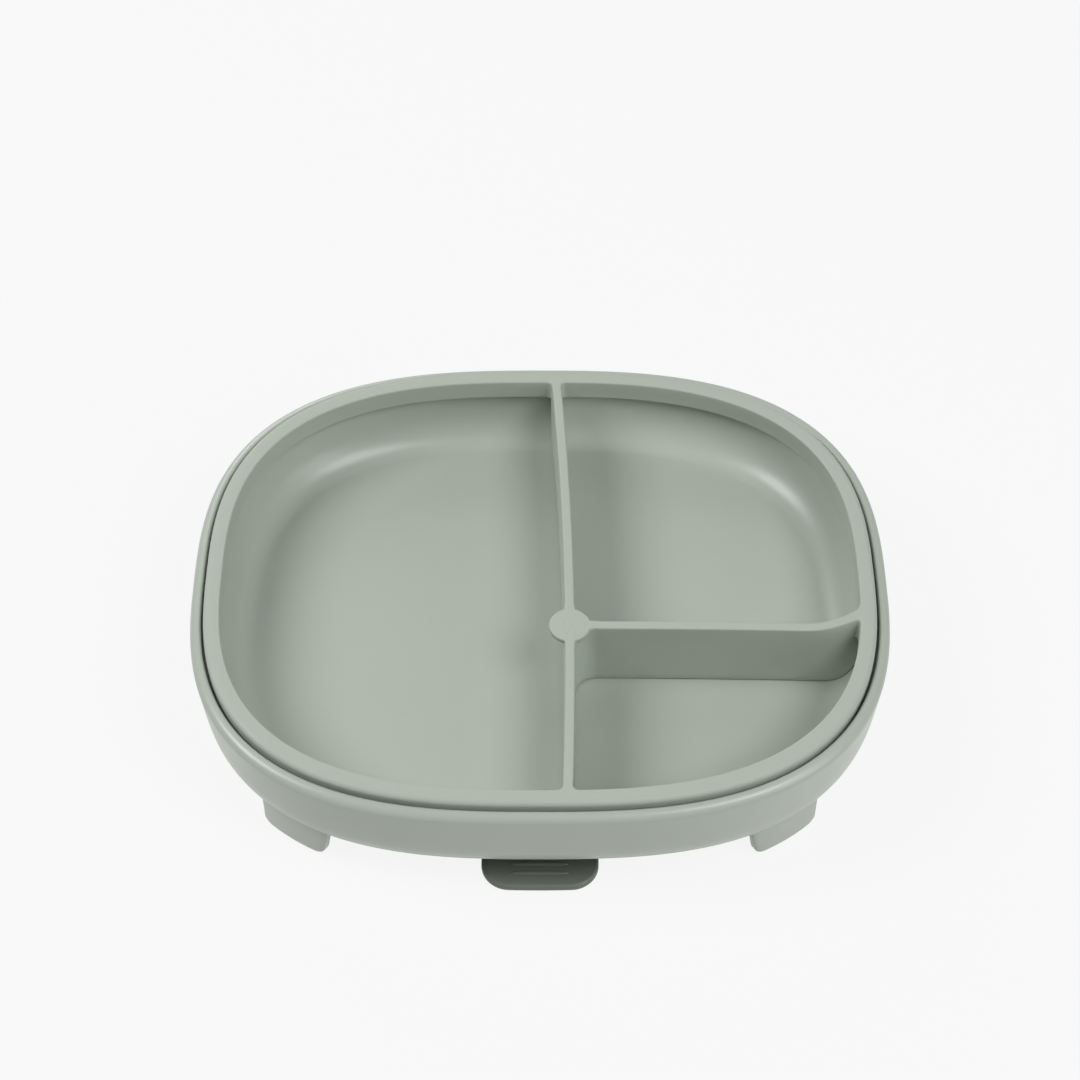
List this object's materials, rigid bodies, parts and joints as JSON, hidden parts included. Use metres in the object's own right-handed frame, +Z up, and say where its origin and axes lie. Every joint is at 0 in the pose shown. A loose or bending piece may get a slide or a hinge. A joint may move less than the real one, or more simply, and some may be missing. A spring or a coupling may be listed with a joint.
{
  "type": "suction bowl",
  "caption": "Rounded oblong toddler bowl on short corner legs with a lift-out soft divider insert and a suction base with a front release tab.",
  "frame": {"origin": "centre of the bowl's plan at the height of the table, where the suction lip rests", "axes": "+X along the bowl's long side to the right, -Y to the front where the release tab is, +Z up"},
  "size_m": [0.2, 0.17, 0.04],
  "materials": {
    "bowl_plastic": "satin matte sage green polypropylene",
    "soft_insert": "matte sage green silicone",
    "soft_base": "matte sage green silicone"
  },
  "bodies": {
    "base": {"suction_lip": "soft_base", "suction_dome": "soft_base"},
    "bowl": {"bowl_shell": "bowl_plastic", "suction_collar": "soft_base"},
    "divider": {"divider_insert": "soft_insert"},
    "tab": {"release_tab": "soft_base"}
  },
  "joints": [
    {"name": "press", "type": "slide", "parent": "base", "child": "bowl", "axis": [0, 0, -1], "range_m": [0, 0.0012], "stiffness_N_per_m": 20000, "deforming": ["suction_dome"]},
    {"name": "divider_lift", "type": "slide", "parent": "bowl", "child": "divider", "axis": [0, 0, 1], "range_m": [0, 0.045]},
    {"name": "tab_pull", "type": "hinge", "parent": "base", "child": "tab", "pos_m": [0, -0.06355, 0.00165], "axis": [-1, 0, 0], "range_deg": [0, 25], "stiffness_Nm_per_rad": 0.05}
  ]
}
